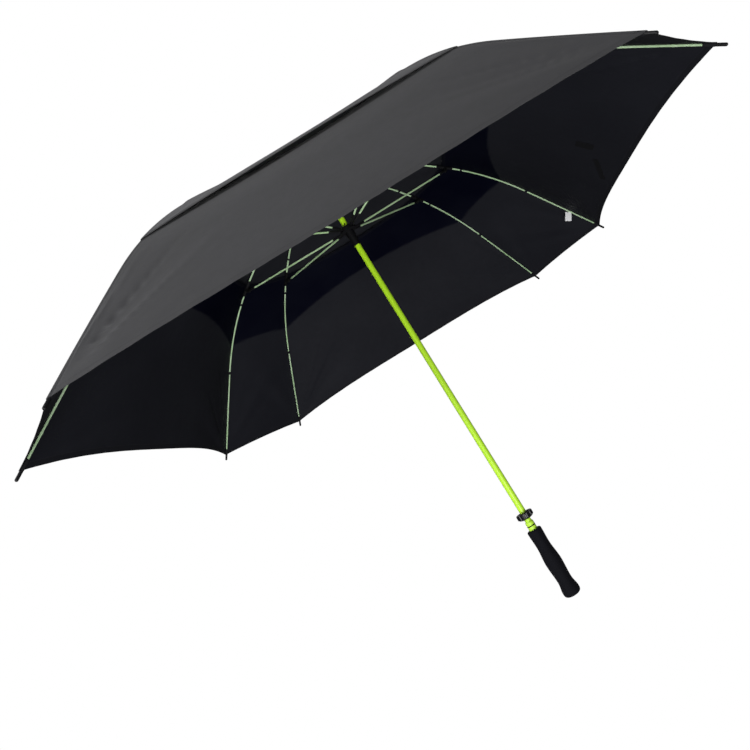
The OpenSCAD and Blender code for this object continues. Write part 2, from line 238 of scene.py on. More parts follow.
def ripple(panel, across, x, layer):
    """Tension folds and puckers: how far the cloth stands off its smooth shape."""
    wide = is_wide(panel)
    gap = rib_gap(panel, across, x)
    y = across * x * math.sin(half_angle(panel))
    height = sum(tip_folds(panel, side, layer, x, y) for side in (-1, 1))
    # long soft waves across the panel
    middle = 1 - across**2
    if layer == "low":
        wave = np.sin(x / 47.0 + 1.7 * panel + 2.2 * across)
        height += 0.8 * wave * middle * window((352, 420), (640, 700), x)
        # slack puckers just inside the hem
        hem = hem_x(panel, across, "low")
        puckers = 0.28 * np.sin(y / 9.5 + panel) * smooth(hem - 30, hem - 8, x)
        height += puckers * smooth(8, 40, gap) * (1 if wide else 0.4)
    else:
        wave = np.sin(x / 52.0 + 1.1 * panel - 1.9 * across)
        height += 0.7 * wave * middle * smooth(60, 200, x)
    # needle puckers along the seams over the ribs
    needle = 0.13 * np.sin(x / 4.6 + 2.0 * panel) * window((0, 3), (5, 18), gap)
    height += needle * window((40, 90), (650, 700), x)
    # calmer where the two layers lie over each other
    overlap = window((300, 350), (500, 545), x)
    calming = 0.75 * (1 - np.maximum(0, middle) ** 0.7) if wide else 0.8
    return height * smooth(0, 9, gap) * (1 - overlap * calming)


def cloth(panel, across, x, layer, ripples=True, extra=0.0):
    """Points of the cloth; extra is a height above its own place."""
    across, x = np.broadcast_arrays(np.asarray(across, float), np.asarray(x, float))
    half, azimuth = half_angle(panel), math.radians(PANEL_STEP * panel)
    height, slope = rib_line(x)
    gap = rib_gap(panel, across, x)
    # a seam ridge close to the rib, with a shallow groove beside it
    ridge = 0.5 * fade(1.2, 4.5, gap) - 0.2 * (smooth(3.5, 5, gap) - smooth(6, 9, gap))
    lift = lift_of(layer, x, gap) + extra + ridge
    dip = dip_of(layer, x) * (1 if is_wide(panel) else 0.16) * (1 - across * across)
    if ripples:
        dip = dip - ripple(panel, across, x, layer)
    tilt = np.arctan2(np.tan(slope), math.cos(half))
    out = x * math.cos(half) - dip * np.sin(tilt)
    sideways = across * x * math.sin(half)
    z = height + lift / np.cos(slope) - dip * np.cos(tilt)
    cos, sin = math.cos(azimuth), math.sin(azimuth)
    return np.stack([out * cos - sideways * sin, out * sin + sideways * cos, z], -1)


def cloth_normal(panel, across, x, layer):
    """Upward normal, from small steps across the panel and along x."""
    step, step_x = 1e-4, 0.02
    sideways = cloth(panel, across + step, x, layer) - cloth(panel, across - step, x, layer)
    outward = cloth(panel, across, x + step_x, layer) - cloth(panel, across, x - step_x, layer)
    normal = unit(np.cross(outward, sideways))
    return normal * np.sign(normal[..., 2:3] + 1e-9)


# --------------------------------------------------------------------------
# Shader helpers
# --------------------------------------------------------------------------
def srgb(*rgb):
    """Linear RGBA from 0-255 display values."""
    def linear(value):
        value /= 255.0
        return value / 12.92 if value <= 0.04045 else ((value + 0.055) / 1.055) ** 2.4

    return (*map(linear, rgb), 1.0)


class Graph:
    """Short calls for adding shader nodes to a new material or world."""

    def __init__(self, owner):
        owner.use_nodes = True
        self.owner = owner
        self.tree = owner.node_tree

    def feed(self, socket, value):
        if isinstance(value, bpy.types.NodeSocket):
            self.tree.links.new(value, socket)
        else:
            socket.default_value = value

    def add(self, kind, inputs=None, **properties):
        node = self.tree.nodes.new(kind)
        for key, value in properties.items():
            setattr(node, key, value)
        for key, value in (inputs or {}).items():
            self.feed(node.inputs[key], value)
        return node

    def coords(self):
        return self.add("ShaderNodeTexCoord").outputs["Object"]

    def split(self, vector):
        return self.add("ShaderNodeSeparateXYZ", {0: vector}).outputs

    def math(self, operation, *values, clamp=False):
        inputs = dict(enumerate(values))
        return self.add("ShaderNodeMath", inputs, operation=operation, use_clamp=clamp).outputs[0]

    def mul(self, first, second):
        return self.math("MULTIPLY", first, second)

    def plus(self, first, second):
        return self.math("ADD", first, second)

    def noise(self, vector, scale, detail, roughness):
        inputs = {"Scale": scale, "Detail": detail, "Roughness": roughness, "Vector": vector}
        return self.add("ShaderNodeTexNoise", inputs).outputs["Fac"]

    def mix(self, factor, first, second):
        inputs = {0: factor, 6: first, 7: second}
        return self.add("ShaderNodeMix", inputs, data_type="RGBA").outputs[2]

    def ramp(self, factor, *stops):
        """Two stops, each a position and a colour."""
        node = self.add("ShaderNodeValToRGB", {0: factor})
        for element, (position, colour) in zip(node.color_ramp.elements, stops):
            element.position = position
            element.color = colour
        return node.outputs[0]

    def bump(self, height, strength, distance, after=None):
        inputs = {"Strength": strength, "Distance": distance, "Height": height}
        if after is not None:
            inputs["Normal"] = after
        return self.add("ShaderNodeBump", inputs).outputs[0]

    def principled(self, **values):
        """Set the surface's inputs, spaces written as underscores; returns the material."""
        bsdf = self.tree.nodes["Principled BSDF"]
        for key, value in values.items():
            self.feed(bsdf.inputs[key.replace("_", " ")], value)
        return self.owner


def new_material(name):
    return Graph(bpy.data.materials.new(name))


# --------------------------------------------------------------------------
# Materials
# --------------------------------------------------------------------------
def moulded(name, dark, light, roughness, grain, bump, coat=0.0):
    """Moulded plastic: two mottled tones under a fine grain."""
    graph = new_material(name)
    coords = graph.coords()
    broad = graph.noise(coords, scale=35, detail=3, roughness=0.6)
    fine = graph.noise(coords, scale=grain, detail=4, roughness=0.6)
    tone = graph.plus(graph.mul(broad, 0.6), graph.mul(fine, 0.4))
    return graph.principled(
        Base_Color=graph.ramp(tone, (0.3, srgb(*dark)), (0.72, srgb(*light))),
        Roughness=graph.plus(graph.mul(broad, 0.16), roughness - 0.08),
        Normal=graph.bump(fine, strength=bump, distance=0.0004),
        Coat_Weight=coat,
        Specular_IOR_Level=0.5 if coat else 0.25,
    )


def metal(name, dark, light, roughness):
    """Metal brushed along Z."""
    graph = new_material(name)
    inputs = {"Scale": (1, 1, 0.06), "Vector": graph.coords()}
    stretched = graph.add("ShaderNodeMapping", inputs).outputs[0]
    brush = graph.noise(stretched, scale=900, detail=3, roughness=0.6)
    return graph.principled(
        Base_Color=graph.ramp(brush, (0.3, srgb(*dark)), (0.7, srgb(*light))),
        Roughness=graph.plus(graph.mul(brush, 0.2), roughness - 0.1),
        Normal=graph.bump(brush, strength=0.05, distance=0.0002),
        Metallic=1.0,
    )


def enamel(name, low, high):
    """Bright enamel, changing tone up the shaft, with soft orange peel and a clear coat."""
    low, high = srgb(*low), srgb(*high)
    bottom, length = 0.2, 0.66  # stretch of the change of tone, in metres
    graph = new_material(name)
    coords = graph.coords()
    z = graph.split(coords)[2]
    rise = graph.math("DIVIDE", graph.math("SUBTRACT", z, bottom), length, clamp=True)
    peel = graph.noise(coords, scale=70, detail=1, roughness=0.5)
    dirt = graph.noise(coords, scale=28, detail=2, roughness=0.5)
    soiled = (high[0] * 0.6, high[1] * 0.62, high[2] * 0.6, 1)
    soiling = graph.mul(graph.math("SUBTRACT", dirt, 0.45, clamp=True), 0.05)
    return graph.principled(
        Base_Color=graph.mix(soiling, graph.mix(rise, low, high), soiled),
        Roughness=graph.plus(graph.mul(dirt, 0.04), 0.34),
        Normal=graph.bump(peel, strength=0.004, distance=0.0001),
        Coat_Weight=0.2,
        Coat_Roughness=0.35,
    )


def fibre(name, dark, light, outer=0.0):
    """Pale pultruded rod with streaks of glass. Its eyes are black: nearer the axis than
    25.5 mm and, if outer is given, farther than that (in metres)."""
    graph = new_material(name)
    coords = graph.coords()
    streak = graph.noise(coords, scale=260, detail=4, roughness=0.65)
    patch = graph.noise(coords, scale=16, detail=2, roughness=0.5)
    tone = graph.plus(graph.mul(streak, 0.55), graph.mul(patch, 0.45))
    colour = graph.ramp(tone, (0.32, srgb(*dark)), (0.68, srgb(*light)))
    x, y, _ = graph.split(coords)
    distance = graph.math("SQRT", graph.plus(graph.mul(x, x), graph.mul(y, y)))
    eyes = graph.math("LESS_THAN", distance, 0.0255)
    if outer:
        eyes = graph.math("MAXIMUM", eyes, graph.math("GREATER_THAN", distance, outer))
    return graph.principled(
        Base_Color=graph.mix(eyes, colour, srgb(10, 10, 12)),
        Roughness=graph.plus(graph.mul(streak, 0.18), 0.3),
        Normal=graph.bump(streak, strength=0.08, distance=0.0003),
        Coat_Weight=0.15,
    )


def foam(name, dark, light):
    """Matt foam with small cells."""
    graph = new_material(name)
    coords = graph.coords()
    inputs = {"Scale": 900, "Vector": coords}
    cells = graph.add("ShaderNodeTexVoronoi", inputs).outputs["Distance"]
    soft = graph.noise(coords, scale=45, detail=3, roughness=0.6)
    fine = graph.noise(coords, scale=1400, detail=3, roughness=0.7)
    tone = graph.plus(graph.mul(soft, 0.5), graph.mul(fine, 0.5))
    dents = graph.bump(soft, strength=0.10, distance=0.002)
    return graph.principled(
        Base_Color=graph.ramp(tone, (0.3, srgb(*dark)), (0.7, srgb(*light))),
        Roughness=graph.plus(graph.mul(fine, 0.15), 0.74),
        Normal=graph.bump(cells, strength=0.35, distance=0.0004, after=dents),
        Sheen_Weight=0.02,
        Sheen_Roughness=0.5,
        Specular_IOR_Level=0.12,
    )


def woven(name, single, hem, stitch, roughness, sheen, shade_colour=None, weave_bump=0.25):
    """Plain-weave cloth. UV 'cloth' is in metres across and along; UV 'edge' is the distance
    from the seam and from the hem, in metres; 'zone' is 1 where painted shade darkens the cloth."""
    thread_pitch = 0.00085
    hem_width = 0.0095
    hem_stitch, seam_stitch = 0.0088, 0.0046  # distances of the stitch lines from the edges
    stitch_half_width, stitch_pitch, stitch_share = 0.00042, 0.0034, 0.66
    graph = new_material(name)
    cloth_uv = graph.add("ShaderNodeUVMap", uv_map="cloth").outputs[0]
    edge_uv = graph.add("ShaderNodeUVMap", uv_map="edge").outputs[0]
    across, along, _ = graph.split(cloth_uv)
    from_seam, from_hem, _ = graph.split(edge_uv)
    turns = 2 * math.pi / thread_pitch
    warp = graph.math("SINE", graph.mul(across, turns))
    weft = graph.math("SINE", graph.mul(along, turns))
    weave = graph.plus(graph.mul(graph.mul(warp, weft), 0.5), 0.5)
    zone = graph.add("ShaderNodeAttribute", attribute_name="zone").outputs["Fac"]
    coords = graph.coords()
    slub = graph.noise(coords, scale=60, detail=4, roughness=0.6)
    broad = graph.noise(coords, scale=5.5, detail=3, roughness=0.5)
    # painted shade: where zone is 1 the colour turns to the darker overlap colour, for the flap's
    # shadow on the lower cloth, the light two layers hold back, and the shade inside near the crown
    colour = graph.mix(zone, srgb(*single), srgb(*(shade_colour or single)))
    dark = graph.mix(0.30, colour, (0, 0, 0, 1))
    colour = graph.mix(graph.mul(slub, 0.5), colour, dark)
    # broad patches are a little bluer
    blue = graph.mix(0.06, colour, (0.25, 0.27, 0.32, 1))
    patches = graph.mul(graph.math("SUBTRACT", broad, 0.35, clamp=True), 0.5)
    colour = graph.mix(patches, colour, blue)
    colour = graph.mix(graph.mul(weave, 0.12), colour, dark)
    # hem band: cloth folded in two, with its own tint; on the upper cloth's outside the tint is dark,
    # painted shade along the flap's edge
    in_hem = graph.math("LESS_THAN", from_hem, hem_width)
    colour = graph.mix(graph.mul(in_hem, 0.75), colour, srgb(*hem))

    def stitches(distance, run, place):
        offset = graph.math("ABSOLUTE", graph.math("SUBTRACT", distance, place))
        line = graph.math("LESS_THAN", offset, stitch_half_width)
        beat = graph.math("FRACT", graph.math("DIVIDE", run, stitch_pitch))
        return graph.mul(line, graph.math("LESS_THAN", beat, stitch_share))

    stitched = graph.math("MAXIMUM", stitches(from_hem, across, hem_stitch),
                          stitches(from_seam, along, seam_stitch))
    height = graph.plus(graph.mul(weave, 0.35), graph.mul(stitched, 0.9))
    slubs = graph.bump(slub, strength=0.18, distance=0.0012)
    return graph.principled(
        Base_Color=graph.mix(stitched, colour, srgb(*stitch)),
        Roughness=graph.plus(graph.mul(slub, 0.12), roughness - 0.06),
        Normal=graph.bump(height, strength=weave_bump, distance=0.0003, after=slubs),
        Sheen_Weight=sheen,
        Sheen_Roughness=0.45,
        Specular_IOR_Level=graph.math("SUBTRACT", 0.24, graph.mul(zone, 0.21)),
    )


# painted shadow: the lower cloth's outside turns near-black under the upper flap and just past its
# hem
LOW_OUTSIDE = woven("canopy_outside", single=(53, 53, 55), shade_colour=(12, 12, 14),
                    hem=(48, 48, 50), stitch=(30, 30, 32), roughness=0.64, sheen=0.08)
# painted light: the upper cloth's outside is a lighter copy of the lower cloth's; its dark hem is
# painted shade widening the shadow line under the flap
TOP_OUTSIDE_LIT = woven("canopy_outside_top_lit", single=(76, 76, 78),
                    hem=(16, 16, 18), stitch=(32, 32, 34), roughness=0.64, sheen=0.08)
# painted shade: the insides are darker copies of the same black cloth, for the shade under the canopy
LOW_INSIDE_SHADED = woven("canopy_inside_shaded", single=(18, 19, 27), shade_colour=(3, 4, 18),
                   hem=(15, 16, 22), stitch=(31, 31, 38), roughness=0.72, sheen=0.0)
TOP_INSIDE_SHADED = woven("canopy_inside_top_shaded", single=(22, 23, 29), shade_colour=(12, 15, 16),
                   hem=(24, 24, 30), stitch=(40, 40, 46), roughness=0.72, sheen=0.0)
LIME = enamel("shaft_enamel", low=(182, 232, 50), high=(184, 236, 40))
SLEEVE = moulded("sleeve_plastic", (168, 216, 48), (184, 228, 66),
                 roughness=0.46, grain=300, bump=0.015, coat=0.05)
FIBRE = fibre("rib_fibre", (150, 190, 132), (204, 226, 194))
STRUT = fibre("stretcher_fibre", (148, 188, 128), (196, 220, 182), outer=0.330)
BLACK = moulded("black_moulding", (6, 6, 8), (14, 14, 17), roughness=0.5, grain=800, bump=0.10)
SOCKET = moulded("socket_moulding", (7, 7, 9), (16, 16, 19), roughness=0.55, grain=900, bump=0.12)
CUP = moulded("cup_moulding", (6, 6, 11), (15, 15, 21),
              roughness=0.32, grain=700, bump=0.06, coat=0.12)
FOAM = foam("grip_foam", (3, 3, 8), (7, 7, 14))
WIRE = metal("bright_wire", (150, 150, 154), (205, 205, 208), roughness=0.3)
DARK_PIN = metal("dark_pin", (30, 30, 32), (58, 58, 60), roughness=0.4)
THREAD = moulded("tie_thread", (10, 10, 13), (26, 26, 30), roughness=0.85, grain=1500, bump=0.35)
RIBBON = woven("strap_ribbon", single=(24, 24, 27), hem=(30, 30, 33), stitch=(60, 60, 64),
               roughness=0.7, sheen=0.1, weave_bump=0.5)
# painted shadow: near-black sheets for the strap's shadow seen through the cloth
STRAP_SHADOW = woven("strap_shadow_patch", single=(4, 4, 8), hem=(8, 8, 12), stitch=(16, 16, 21),
              roughness=0.8, sheen=0.0, weave_bump=0.4)
LABEL = woven("label_satin", single=(250, 250, 252), hem=(240, 240, 243),
              stitch=(200, 200, 204), roughness=0.45, sheen=0.3, weave_bump=0.3)

CANOPY_MATERIALS = {"low": (LOW_OUTSIDE, LOW_INSIDE_SHADED), "up": (TOP_OUTSIDE_LIT, TOP_INSIDE_SHADED)}


# --------------------------------------------------------------------------
# Mesh helpers
# --------------------------------------------------------------------------
def link(ob):
    scene.collection.objects.link(ob)
    return ob


def new_mesh(name, verts, faces, *materials):
    mesh = bpy.data.meshes.new(name)
    mesh.from_pydata(verts, [], faces)
    for material in materials:
        mesh.materials.append(material)
    return mesh


def shade_smooth(mesh, sharp_degrees):
    for polygon in mesh.polygons:
        polygon.use_smooth = True
    mesh.set_sharp_from_angle(angle=math.radians(sharp_degrees))


def attach(ob, node):
    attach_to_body(ob, node)
    return ob


def shell(name, points, normals, uv_cloth, uv_edge, zone, thickness, materials):
    """A thin closed shell round a grid of points (rows, columns, 3), with normals.
    The materials are for its upper face and rim, and for its under face."""
    offset = normals * thickness[..., None] / 2
    verts = np.concatenate([(points + offset).reshape(-1, 3),
                            (points - offset).reshape(-1, 3)]) / MM
    count = zone.size
    grid = np.arange(count).reshape(zone.shape)
    quads = np.stack([grid[:-1, :-1], grid[:-1, 1:], grid[1:, 1:], grid[1:, :-1]], -1)
    quads = quads.reshape(-1, 4)
    rim = np.concatenate([grid[0, :], grid[1:, -1], grid[-1, -2::-1], grid[-2:0:-1, 0]])
    following = np.roll(rim, -1)
    sides = np.stack([rim, following, following + count, rim + count], 1)
    # wind the faces so that they look outwards
    row, column = verts[grid[0, 1]] - verts[0], verts[grid[1, 0]] - verts[0]
    if np.dot(np.cross(row, column), normals[0, 0]) > 0:
        sides = sides[:, ::-1]
    else:
        quads = quads[:, [0, 3, 2, 1]]
    faces = np.concatenate([quads, quads[:, ::-1] + count, sides])
    mesh = new_mesh(name, verts.tolist(), faces.tolist(), *materials)
    material_index = np.zeros(len(faces), np.int32)
    material_index[len(quads): 2 * len(quads)] = 1
    mesh.polygons.foreach_set("material_index", material_index)
    mesh.polygons.foreach_set("use_smooth", np.ones(len(faces), bool))
    loops = faces.ravel()
    for layer_name, values in (("cloth", uv_cloth), ("edge", uv_edge)):
        layer = mesh.uv_layers.new(name=layer_name)
        both = np.concatenate([values.reshape(-1, 2)] * 2)
        layer.data.foreach_set("uv", both[loops].astype(np.float32).ravel())
    attribute = mesh.attributes.new("zone", "FLOAT", "POINT")
    attribute.data.foreach_set("value", np.concatenate([zone.ravel()] * 2).astype(np.float32))
    # the faces keep the surface's normals, the rim its own flat ones
    flat_normals = normals.reshape(-1, 3)
    loop_normals = np.concatenate([flat_normals, -flat_normals])[loops]
    corners = verts[sides]
    rim_normals = unit(np.cross(corners[:, 1] - corners[:, 0], corners[:, 3] - corners[:, 0]))
    loop_normals[2 * len(quads) * 4:] = np.repeat(rim_normals, 4, axis=0)
    mesh.validate()
    mesh.normals_split_custom_set(loop_normals.tolist())
    return link(bpy.data.objects.new(name, mesh))


def tube(name, path, radii, material, sides):
    """A round bar along a path of points, with a radius at each."""
    path, radii = np.asarray(path, float), np.asarray(radii, float)
    tangent = unit(np.gradient(path, axis=0))
    level = unit(np.cross(tangent, UP))
    upright = np.cross(tangent, level)
    theta = (2 * math.pi * np.arange(sides) / sides)[None, :, None]
    ring = level[:, None] * np.cos(theta) + upright[:, None] * np.sin(theta)
    verts = (path[:, None] + radii[:, None, None] * ring).reshape(-1, 3) / MM
    faces = []
    for i in range(len(path) - 1):
        for j in range(sides):
            a, b = i * sides + j, i * sides + (j + 1) % sides
            faces.append((a, b, b + sides, a + sides))
    faces.append(tuple(range(sides))[::-1])
    faces.append(tuple((len(path) - 1) * sides + j for j in range(sides)))
    mesh = new_mesh(name, verts.tolist(), faces, material)
    shade_smooth(mesh, 50)
    return link(bpy.data.objects.new(name, mesh))


def ribbon(name, centre, across, normals, width, thickness, material):
    """A flat woven band: centre points (n, 3), unit across and normal vectors."""
    columns = np.array([-0.5, -0.49, -0.46, -0.3, 0, 0.3, 0.46, 0.49, 0.5])
    offsets = columns * width
    points = centre[:, None, :] + across[:, None, :] * offsets[None, :, None]
    shape = points.shape[:2]
    zero = np.zeros(shape)
    thick = np.full(shape, float(thickness))
    thick[:, [0, -1]] *= 0.4  # thin edges
    thick[:, [2, -3]] *= 1.15  # selvedge
    steps = np.linalg.norm(np.diff(centre, axis=0), axis=1)
    along = np.concatenate([[0], np.cumsum(steps)])
    uv_cloth = np.stack([zero + offsets, zero + along[:, None]], -1) / MM
    # far from any seam; the hem distance starts close to the stitch line
    from_hem = (0.5 - np.abs(columns)) * width + 7.2
    uv_edge = np.stack([zero + 50.0, zero + from_hem], -1) / MM
    spread = np.broadcast_to(normals[:, None, :], points.shape)
    return shell(name, points, spread, uv_cloth, uv_edge, zero, thick, (material, material))


# --------------------------------------------------------------------------
# Materials of the loaded pieces
# --------------------------------------------------------------------------
PIECE_MATERIALS = {
    "top_notch": BLACK, "top_ferrule": BLACK, "ferrule_washer": BLACK,
    "runner_hub": BLACK, "runner_sleeve": BLACK, "grip_core": BLACK,
    "tip_cup": CUP, "grip_foam": FOAM, "handle_sleeve": SLEEVE, "shaft_tube": LIME,
    "notch_wire": WIRE, "runner_wire": WIRE, "catch_spring": WIRE, "top_catch": WIRE,
    "stop_pin": DARK_PIN, "care_label": LABEL,
}
PREFIX_MATERIALS = (("rib_joint", BLACK), ("tip_cap", BLACK), ("stretcher", STRUT), ("rib", FIBRE))


def piece_material(name):
    if name in PIECE_MATERIALS:
        return PIECE_MATERIALS[name]
    for prefix, material in PREFIX_MATERIALS:
        if name.startswith(prefix):
            return material
    return RIBBON


for name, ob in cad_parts.items():
    ob.data.materials.clear()
    ob.data.materials.append(piece_material(name))
    shade_smooth(ob.data, 32)


# --------------------------------------------------------------------------
# How far the cloth would gather when the umbrella closes
# --------------------------------------------------------------------------
def turned(point, centre, angle):
    dx, dz = point[0] - centre[0], point[1] - centre[1]
    cos, sin = math.cos(angle), math.sin(angle)
    return centre[0] + dx * cos + dz * sin, centre[1] - dx * sin + dz * cos


JOINT_SLOPE = float(rib_line(JOINT_X)[1])
HINGE = (RIB_POINTS[1][0] + HINGE_LIFT * math.sin(JOINT_SLOPE),
         RIB_POINTS[1][1] + HINGE_LIFT * math.cos(JOINT_SLOPE))


def furled(point, past_joint):
    """Where a point (r, z) in a rib's own plane goes when the umbrella is closed."""
    if past_joint:
        point = turned(point, HINGE, FLEX)
    return turned(point, RIB_POINTS[0], FOLD)


FURLED_RIB = np.array([furled((float(x), float(rib_line(x)[0])), x >= JOINT_X)
                       for x in np.linspace(15.0, 765.0, 301)])


def gather(ob, panel, side, layer, inner, outer, past_joint):
    """Work out how far a stretch of half panel beside its rib would squash as the umbrella
    closes: its mid-panel edge has to meet its neighbour's in the plane half way between the
    ribs, standing a little outside them. Nothing moves here; a piece that would squash gets a
    mesh of its own."""
    rib = rib_of(panel, side)
    middle = 0.5 * (inner + outer)
    lift = float(lift_of(layer, middle))
    first, last = rib_point(rib, inner, lift), rib_point(rib, outer, lift)
    anchor = 0.34 * (first + last) / 2 + 0.66 * rib_point(rib, middle, lift)
    chord = unit(last - first)
    outward, sideways = rib_axes(rib)
    sample_x = min(inner + 0.45 * (outer - inner), float(hem_x(panel, 0.0, layer)))
    reach = cloth(panel, 0.0, sample_x, layer, ripples=False) - anchor
    if reach @ sideways < 0:
        sideways = -sideways
    rise = unit(UP * (chord @ outward) - outward * chord[2])
    along_chord = float(reach @ chord) * chord
    reach = reach - along_chord
    foot = anchor + along_chord

    def closed(point):
        return furled((float(point @ outward), float(point[2])), past_joint)

    base = closed(foot)
    slope = closed(foot + rise)[0] - base[0]
    # the closed rib's own distance from the axis at this height, and a margin for the cloth
    rib_distance = float(np.interp(-base[1], -FURLED_RIB[:, 1], FURLED_RIB[:, 0]))
    margin = 4.0 + 0.020 * middle + (5.5 if layer == "up" else 0.0)
    half = half_angle(panel)
    target = (rib_distance + lift + margin) * math.cos(half)
    goal = target * math.tan(half) * sideways + (target - base[0]) / slope * rise
    move = reach - goal
    dot = float(reach @ move)
    if dot <= 1e-6 or float(goal @ reach) <= 0:
        return
    keep = 1 - float(move @ move) / dot
    if 0.004 < keep < 0.98:
        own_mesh(ob)


# --------------------------------------------------------------------------
# Canopies: half panels, each riding on its own rib
# --------------------------------------------------------------------------
def shade_zone(panel, across, x, layer):
    """Mask of painted shade: 1 where the lower cloth lies under the upper, fading out just past
    the upper cloth's hem as the flap's shadow, or on the upper cloth near the crown.
    """
    if layer == "up":
        return fade(70, 260, x)
    start = hem_x(panel, across, "up") + (1 if is_wide(panel) else 0)
    return fade(start, start + 6, x)


def half_panel(name, panel, side, layer, start, stop, columns, lap_of=None):
    """One strip of a half panel from start to stop along the rib; None is the canopy's own
    edge. A lap lies just under the cloth and goes through gather with the span lap_of."""
    rib = rib_of(panel, side)
    edge_in, edge_out = EDGES[layer]
    span = (start or edge_in, stop or edge_out)
    half_width = 0.5 * sum(span) * math.sin(half_angle(panel))
    near = [v / half_width for v in (LAP_COLUMNS if lap_of else RIB_COLUMNS)]
    near = [v for v in near if v < 0.3]
    across = side * (1 - np.concatenate([near, np.linspace(near[-1], 1, columns + 1)[1:]]))

    inner, outer = (np.full_like(across, v) for v in span)
    hem_rows, vent_rows = [0], [0]
    if stop is None:
        outer = hem_x(panel, across, layer)
        hem_rows = HEM_ROWS
    if start is None and layer == "low":
        vent_rows = HEM_ROWS
        if is_wide(panel):
            inner = edge_in + VENT_BULGE * (1 - across * across)
    low, high = inner + vent_rows[-1], outer - hem_rows[-1]
    steps = max(3, int(math.ceil(float(np.max(high - low)) / ROW_STEP)))
    x = np.array([inner + v for v in vent_rows[:-1]]
                 + [low + (high - low) * t for t in np.linspace(0, 1, steps + 1)]
                 + [outer - v for v in reversed(hem_rows[:-1])])
    across = np.broadcast_to(across[None, :], x.shape)

    points = cloth(panel, across, x, layer, extra=-0.62 if lap_of else 0.0)
    normals = cloth_normal(panel, across, x, layer)
    from_hem = np.full_like(x, 1000.0)
    if stop is None:
        from_hem = np.minimum(from_hem, outer[None, :] - x)
    if start is None and layer == "low":
        from_hem = np.minimum(from_hem, x - inner[None, :])
    thick = CLOTH_THICKNESS + HEM_EXTRA * fade(9.0, 9.9, from_hem)
    # rounded hem edge and a shallow groove at the stitch line
    groove = 0.22 * np.exp(-((from_hem - 8.6) / 0.5) ** 2)
    thick = thick * (0.45 + 0.55 * smooth(0, 1.2, from_hem)) - groove
    gap = rib_gap(panel, across, x)
    thick = thick + SEAM_EXTRA * fade(3.4, 4.6, gap)
    # extra thickness goes on the under side
    points = points - normals * (thick[..., None] - CLOTH_THICKNESS) / 2
    sideways = across * x * math.sin(half_angle(panel))
    uv_cloth = np.stack([sideways, x * 1.18], -1) / MM
    uv_edge = np.stack([gap, from_hem], -1) / MM
    ob = shell(name, points, normals, uv_cloth, uv_edge,
               shade_zone(panel, across, x, layer), thick, CANOPY_MATERIALS[layer])

    if layer == "up" and start is None:
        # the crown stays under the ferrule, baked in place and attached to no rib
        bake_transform(ob)
    else:
        past_joint = bool(lap_of) or span[0] >= JOINT_X
        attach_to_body(ob, f"rib_end_{rib}" if past_joint else f"rib_{rib}")
        gather(ob, panel, side, layer, *(lap_of or span), past_joint)
    return ob


# Where the panels are cut into strips, by whether the panel is wide
LOW_CUTS = {True: [376, 410, 445, 480, 518, 556, 594, 632, 672],
            False: [376, 410, 450, 505, 560, 645]}
TOP_CUTS = {True: [24, 40, 65, 82, 100, 125, 150, 182, 215, 252, 290, 333, 376, 408, 440],
            False: [24, 45, 90, 130, 170, 220, 270, 323, 376, 438]}
NARROW_BELOW = 82  # strips that start inside this have fewer columns
# Mesh columns of a half panel
FULL_COLUMNS = {True: 34, False: 12}
INNER_COLUMNS = {True: 16, False: 6}
CROWN_COLUMNS = {True: 10, False: 6}

low_parts, top_parts = [], []
for panel in range(8):
    wide = is_wide(panel)
    full = FULL_COLUMNS[wide]
    low_cuts, top_cuts = LOW_CUTS[wide], TOP_CUTS[wide]
    for side in (-1, 1):
        tag = f"{'wide' if wide else 'corner'}_{panel}_{'a' if side < 0 else 'b'}"
        for i, (start, stop) in enumerate(zip([None, *low_cuts], [*low_cuts, None]), 1):
            name = f"canopy_low_{tag}_{i}"
            low_parts.append(half_panel(name, panel, side, "low", start, stop, full))
        top_parts.append(half_panel(f"canopy_crown_{tag}", panel, side, "up",
                                    None, top_cuts[0], CROWN_COLUMNS[wide]))
        for i, (start, stop) in enumerate(zip(top_cuts, [*top_cuts[1:], None]), 1):
            columns = INNER_COLUMNS[wide] if start < NARROW_BELOW else full
            name = f"canopy_top_{tag}_{i}"
            top_parts.append(half_panel(name, panel, side, "up", start, stop, columns))
        # a lap under the top cloth at the bracket keeps it closed when the rib bends there
        joint_cut = top_cuts.index(JOINT_X)
        top_parts.append(half_panel(f"canopy_lap_{tag}", panel, side, "up", 359, 377, full,
                                    lap_of=top_cuts[joint_cut: joint_cut + 2]))
for ob in low_parts:
    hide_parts("canopy_lower")
for ob in top_parts:
    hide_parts("canopy_upper")


# --------------------------------------------------------------------------
# Tie bands and tip loops
# --------------------------------------------------------------------------
def rib_band(name, rib, x, length, radii, sides):
    """A thread-covered sleeve on a rib, its middle at x."""
    slope = float(rib_line(x)[1])
    direction = rib_axes(rib)[0] * math.cos(slope) - UP * math.sin(slope)
    steps = np.linspace(-length / 2, length / 2, len(radii))
    return tube(name, rib_point(rib, x) + direction * steps[:, None], radii, THREAD, sides)


def wound_band(name, rib, x, length, radius):
    """A band of thread wound round the rib, with raised turns."""
    radii = radius + 0.16 * np.abs(np.sin(np.linspace(0, math.pi * 6, 25)))
    radii[[0, -1]] = radius - 0.25
    return rib_band(name, rib, x, length, radii, 18)


def tip_loop(name, rib):
    """The cloth corner sewn to the tip cap: a short loop over the cap's inner end."""
    bulge, turns = (np.sin(np.linspace(0, math.pi * n, 12)) for n in (1, 9))
    radii = 3.0 + 0.25 * bulge + 0.06 * turns
    radii[[0, -1]] -= 0.25
    return rib_band(name, rib, 727.0, 18.0, radii, 20)


def join(obs):
    """Join the objects into the first of them."""
    bpy.ops.object.select_all(action="DESELECT")
    for ob in obs:
        ob.select_set(True)
    bpy.context.view_layer.objects.active = obs[0]
    bpy.ops.object.join()
    return obs[0]


